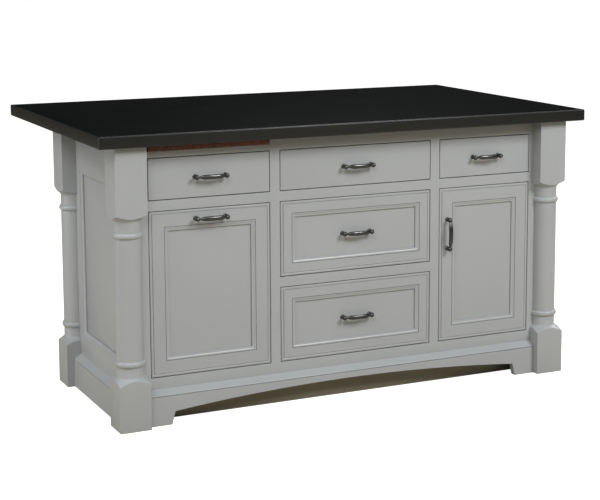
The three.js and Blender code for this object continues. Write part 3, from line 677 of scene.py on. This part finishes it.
def slab_front(name, low, high):
    """A plain front with the edges of its face rounded."""
    piece = block(name, low, high)
    start_edit(piece)
    pick_edges(piece, lambda a, b: max(a.y, b.y) < low.y + near)
    bpy.ops.mesh.bevel(offset=slab_arris, segments=4)
    end_edit()
    smooth(piece)
    return piece


drawer_frame_width = 0.038
bead_width = 0.008
bead_drop = 0.002
bead_groove = 0.0024
groove_width = 0.0016
groove_depth = 0.0030
ogee_width = 0.0115
ogee_crown = 0.0006
ogee_depth = 0.0040
panel_depth = 0.009
soft_edge = 0.0003


def front_profile(frame_width):
    """The moulded section of a framed front, as (distance in from the edge, depth) points."""
    steps = 12
    bead = []
    for i in range(steps + 1):
        angle = i / steps * math.pi
        sink = bead_drop if angle < math.pi / 2 else bead_groove
        bead.append((bead_width / 2 * (1 - math.cos(angle)), sink * (1 - math.sin(angle))))
    inner = bead_width + groove_width
    start = frame_width + groove_width
    end = start + ogee_width + soft_edge
    ogee = bezier((start, ogee_crown), (start + 0.4 * ogee_width, ogee_crown),
                  (start + 0.5 * ogee_width, ogee_depth), (start + ogee_width, ogee_depth), 14)
    return [
        *bead,
        (inner, bead_groove),
        (inner, soft_edge),
        (inner + soft_edge, 0),
        (frame_width - soft_edge, 0),
        (frame_width, soft_edge),
        (frame_width, groove_depth),
        (start, groove_depth),
        (start, ogee_crown + soft_edge),
        (start + soft_edge, ogee_crown),
        *ogee[1:],
        (end, ogee_depth + soft_edge),
        (end, panel_depth),
    ]


def framed_front(name, low, high, frame_width):
    """A front whose moulding is stepped in from its edge, by one inset for each point of the section."""
    profile = front_profile(frame_width)
    piece = block(name, (low.x, low.y + profile[0][1], low.z), high)
    start_edit(piece)
    pick_faces(piece, lambda side: side.normal.y < -0.9)
    for (inset, depth), (next_inset, next_depth) in zip(profile, profile[1:]):
        bpy.ops.mesh.inset(thickness=next_inset - inset, depth=depth - next_depth)
    end_edit()
    smooth(piece, 32)
    return piece


for drawer, framed in (("left", False), ("centre_top", False), ("centre_middle", True),
                       ("centre_bottom", True), ("right", False)):
    body = "drawer_" + drawer
    low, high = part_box(body + "_front")
    if framed:
        front = framed_front(body + "_front_painted", low, high, drawer_frame_width)
    else:
        front = slab_front(body + "_front_painted", low, high)
    fit(front, body, grey_paint, body + "_front")
    box = drawer_box(body + "_box_joined", *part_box(body + "_box"), "runner_" + drawer)
    soften(box, box_arris)
    smooth(box)
    fit(box, body, box_birch, body + "_box")

# ---------------------------------------------------------------- bin pull-out
# A framed front on a low birch tray, whose front wall is carried up to stiffen it, and a moulded plastic bin
# that stands in the tray.

door_frame_width = 0.048
tray_height = 0.110
tray_lap = 0.002

waste_front = framed_front("waste_front_painted", *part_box("waste_front"), door_frame_width)
fit(waste_front, "waste_pullout", grey_paint, "waste_front")

low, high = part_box("waste_tray")
tray_top = low.z + tray_height
tray = drawer_box("waste_tray_joined", low, Vector((high.x, high.y, tray_top)), "runner_waste")
raised = block("raised", (low.x, low.y, tray_top - tray_lap), (high.x, low.y + box_wall, high.z))
cut(tray, raised, operation="UNION")
soften(tray, box_arris)
smooth(tray)
fit(tray, "waste_pullout", box_birch, "waste_tray")

bin_plastic, tree, shader = new_finish("bin_plastic", 0.5)
mottle = noise(tree, (420, 420, 420), 3.0)
tint = mixed(tree, mottle, colour(140, 144, 146), colour(150, 153, 155))
tree.links.new(tint, shader.inputs["Base Color"])
bumped(tree, shader, mottle, 0.0003, 0.5)
coat_node("waste_bin", bin_plastic)

# ---------------------------------------------------------------- right door
# A framed door, hung on two nickelled cup hinges. Each cup sits in a bore in the door's back, and each arm
# is screwed to the carcass side.

bore_radius = 0.0178
bore_gap = 0.0003
bore_past = 0.001

door_low, door_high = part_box("door_right")
door = framed_front("door_right_painted", door_low, door_high, door_frame_width)
for rank in ("upper", "lower"):
    low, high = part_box("hinge_cup_" + rank)
    bore_start = low.y - bore_gap
    bore_end = door_high.y + bore_past
    clear_selection()
    bpy.ops.mesh.primitive_cylinder_add(
        vertices=48, radius=bore_radius, depth=bore_end - bore_start, rotation=(math.pi / 2, 0, 0),
        location=((low.x + high.x) / 2, (bore_start + bore_end) / 2, (low.z + high.z) / 2))
    cut(door, bpy.context.object)
smooth(door, 32)
fit(door, "right_door", grey_paint, "door_right")

hinge_steel, tree, shader = new_finish("nickelled_steel", 0.3)
shader.inputs["Metallic"].default_value = 1
haze = noise(tree, (220, 220, 220), 4.0)
tree.links.new(mixed(tree, haze, colour(190, 192, 194), colour(208, 209, 210)), shader.inputs["Base Color"])
tree.links.new(ranged(tree, haze, 0.3, 0.7, 0.24, 0.36), shader.inputs["Roughness"])
for rank in ("upper", "lower"):
    coat_node("hinge_cup_" + rank, hinge_steel)
    coat_node("hinge_arm_" + rank, hinge_steel)

# ---------------------------------------------------------------- pulls
# Cast pulls, plated in dark brushed nickel: two turned feet with ball ends, and a bowed bar that swells
# from thin necks to a full middle. Each is held by two screws through the front.

nickel, tree, shader = new_finish("dark_brushed_nickel", 0.3)
shader.inputs["Metallic"].default_value = 1
brushing = noise(tree, (90, 900, 900), 3.0)
tree.links.new(mixed(tree, brushing, colour(78, 80, 80), colour(98, 99, 98)), shader.inputs["Base Color"])
tree.links.new(ranged(tree, brushing, 0.3, 0.7, 0.26, 0.38), shader.inputs["Roughness"])

pull_half = 0.049
pull_stand = 0.020
pull_bow = 0.008
pull_gap = 0.0002
bar_end = 0.003
bar_high = 0.0075
bar_deep = 0.005
bar_points = 20
bar_rings = 40
neck_share = 0.86
swell_share = 0.40
flange_radius = 0.0075
neck_radius = 0.0035
collar_radius = 0.0041
ball_radius = 0.0080

foot_profile = [
    (0, pull_gap),
    (flange_radius, pull_gap),
    (flange_radius, 0.0018),
    (0.0072, 0.0023),
    (0.0064, 0.0028),
    (0.0052, 0.0038),
    (0.0040, 0.0052),
    (neck_radius, 0.0066),
    (neck_radius, 0.0105),
    (collar_radius, 0.0112),
    (collar_radius, 0.0125),
]
for degrees in range(-54, 90, 9):
    angle = math.radians(degrees)
    foot_profile.append((ball_radius * math.cos(angle), pull_stand + ball_radius * math.sin(angle)))
foot_profile.append((0, pull_stand + ball_radius))


def pull_bar():
    """A ring of points, extruded on from ring to ring as the bar swells and bows."""
    sizes = []
    for i in range(bar_rings + 1):
        along = i / bar_rings * 2 - 1
        share = min(max((neck_share - abs(along)) / swell_share, 0), 1)
        swell = math.sin(share * math.pi / 2)
        sizes.append((along * pull_half, -pull_stand - pull_bow * (1 - along * along),
                      bar_end + (bar_deep - bar_end) * swell, bar_end + (bar_high - bar_end) * swell))
    clear_selection()
    x, y, deep, tall = sizes[0]
    bpy.ops.mesh.primitive_circle_add(vertices=bar_points, radius=1, fill_type="NGON", location=(x, y, 0),
                                      rotation=(0, math.pi / 2, 0))
    bar = name_piece("pull")
    bar.scale = (tall, deep, 1)
    settle(bar)
    bpy.ops.object.mode_set(mode="EDIT")
    bpy.ops.mesh.select_all(action="SELECT")
    for (x0, y0, deep0, tall0), (x1, y1, deep1, tall1) in zip(sizes, sizes[1:]):
        extrude((x1 - x0, y1 - y0, 0))
        bpy.ops.transform.resize(value=(1, deep1 / deep0, tall1 / tall0), center_override=(x1, y1, 0))
    close_mesh()
    return bar


pull = pull_bar()
for x in (-pull_half, pull_half):
    foot = turn_on_lathe("foot", [(r, -y, 0) for r, y in foot_profile], 24, axis=(0, 1, 0))
    foot.location.x = x
    settle(foot)
    cut(pull, foot, operation="UNION")
smooth(pull, 40)

pull_bodies = {
    "drawer_left_pull": "drawer_left",
    "drawer_centre_top_pull": "drawer_centre_top",
    "drawer_centre_middle_pull": "drawer_centre_middle",
    "drawer_centre_bottom_pull": "drawer_centre_bottom",
    "drawer_right_pull": "drawer_right",
    "waste_pull": "waste_pullout",
    "door_pull": "right_door",
}
for node, body in pull_bodies.items():
    low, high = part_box(node)
    cast = copy_of(pull, node + "_cast")
    cast.location = ((low.x + high.x) / 2, high.y + pull_gap, (low.z + high.z) / 2)
    if node == "door_pull":
        cast.rotation_euler.y = -math.pi / 2
    settle(cast)
    fit(cast, body, nickel, node)
bpy.data.objects.remove(pull)

# ---------------------------------------------------------------- cutting board
# One oiled board of brown hardwood, which slides on two ledges in its slot. Its arrises are softened, and a
# groove for juice runs round its top.

board_arris = 0.002
juice_groove_in = 0.020
juice_groove_steps = ((0.0012, -0.0022), (0.0033, -0.0018), (0.0033, 0.0018), (0.0012, 0.0022))

board_wood = straight_grain("oiled_board", colour(112, 60, 40), colour(78, 38, 25), 0.5,
                            grained(90.0, 3.0, "Y"))
low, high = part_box("cutting_board")
board = block("cutting_board_oiled", low, high)
start_edit(board)
pick_edges(board, lambda a, b: True)
bpy.ops.mesh.bevel(offset=board_arris, segments=3)
pick_faces(board, lambda side: side.normal.z > 0.99)
bpy.ops.mesh.inset(thickness=juice_groove_in, depth=0)
for width, rise in juice_groove_steps:
    bpy.ops.mesh.inset(thickness=width, depth=rise)
end_edit()
smooth(board, 40)
fit(board, "cutting_board", board_wood, "cutting_board")

# ---------------------------------------------------------------- worktop
# One slab of black stone, honed on top, with polished edges rounded over 4 mm. It lies on the frame and
# the posts by its own weight, on dabs of silicone.

stone_round = 0.004


def black_stone(name, roughness, gloss):
    """Black stone with faint clouds and small light flecks."""
    material, tree, shader = new_finish(name, roughness)
    shader.inputs["Specular IOR Level"].default_value = gloss
    crystal = add_node(tree, "TexVoronoi", {"Vector": stretched(tree, (700, 700, 700)), "Scale": 1.0})
    cloud = noise(tree, (9, 9, 9), 5.0)
    tint = mixed(tree, ranged(tree, cloud, 0.3, 0.7, 0, 1), colour(14, 16, 15), colour(18, 20, 19))
    fleck = ranged(tree, crystal.outputs["Distance"], 0.05, 0.3, 0.10, 0)
    tree.links.new(mixed(tree, fleck, tint, colour(52, 54, 52)), shader.inputs["Base Color"])
    return material


stone_top = black_stone("black_stone_honed", 0.45, 0.001)
stone_edge = black_stone("black_stone_edge", 0.38, 0.5)
low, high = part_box("worktop")
worktop = block("worktop_slab", low, high)
start_edit(worktop)
pick_edges(worktop, lambda a, b: True)
bpy.ops.mesh.bevel(offset=stone_round, segments=6)
end_edit()
smooth(worktop, 40)
fit(worktop, "cabinet", stone_top, "worktop")
worktop.data.materials.append(stone_edge)
for face in worktop.data.polygons:
    if abs(face.normal.z) < 0.95:
        face.material_index = 1

# ---------------------------------------------------------------- floor, light and camera
# A plain white studio floor, two large soft lights in front, two at the left end, one at the right end, one
# behind, and a weak even light all round. The camera sees the floor and the background as plain white.

floor_size = 60
world_light = 0.10
camera_place = (-2.2070, -4.9007, 1.4868)
camera_tilt = -0.1465
camera_turn = -0.4625
camera_lens = 94.10
camera_shift = (-0.0917, -0.1333)

floor_white, tree, shader = new_finish("floor_white", 0.9)
shader.inputs["Base Color"].default_value = (0.50, 0.44, 0.34, 1)
shader.inputs["Specular IOR Level"].default_value = 0
tree.links.new(add_node(tree, "LightPath").outputs["Is Camera Ray"], shader.inputs["Emission Strength"])
shader.inputs["Emission Color"].default_value = (1, 1, 1, 1)
clear_selection()
bpy.ops.mesh.primitive_plane_add(size=floor_size, location=(0, 0, 0))
floor = bpy.context.object
floor.name = "floor"
floor.data.materials.append(floor_white)


def soft_light(name, azimuth, elevation, size, power, distance=5.5):
    """A round soft light aimed at the middle of the front. Azimuth runs from the front to the right."""
    target = Vector((0, -0.1, 0.5))
    a = math.radians(azimuth)
    e = math.radians(elevation)
    way = Vector((math.sin(a) * math.cos(e), -math.cos(a) * math.cos(e), math.sin(e)))
    clear_selection()
    bpy.ops.object.light_add(type="AREA", location=target + way * distance)
    lamp = bpy.context.object
    lamp.name = name
    lamp.data.shape = "DISK"
    lamp.data.size = size
    lamp.data.energy = power
    lamp.rotation_euler = (-way).to_track_quat("-Z", "Y").to_euler()


soft_light("key_light", 25, 35, 2.0, 182)
soft_light("second_light", -35, 35, 2.8, 90)
soft_light("left_light", -80, 40, 3.2, 76)
soft_light("low_left_light", -95, 10, 1.5, 17, distance=3.0)
soft_light("right_light", 100, 30, 3.0, 90)
soft_light("back_light", 150, 42, 3.0, 120)

world = bpy.data.worlds.new("studio")
bpy.context.scene.world = world
world.use_nodes = True
tree = world.node_tree
seen = add_node(tree, "LightPath").outputs["Is Camera Ray"]
strength = ranged(tree, seen, 0, 1, world_light, 1.0)
tree.links.new(strength, tree.nodes["Background"].inputs["Strength"])
tree.nodes["Background"].inputs["Color"].default_value = (1, 1, 1, 1)

bpy.ops.object.camera_add(location=camera_place, rotation=(math.pi / 2 + camera_tilt, 0, camera_turn))
camera = bpy.context.object
camera.name = "camera"
camera.data.lens = camera_lens
camera.data.shift_x, camera.data.shift_y = camera_shift
bpy.context.scene.camera = camera
bpy.context.scene.view_settings.view_transform = "Standard"
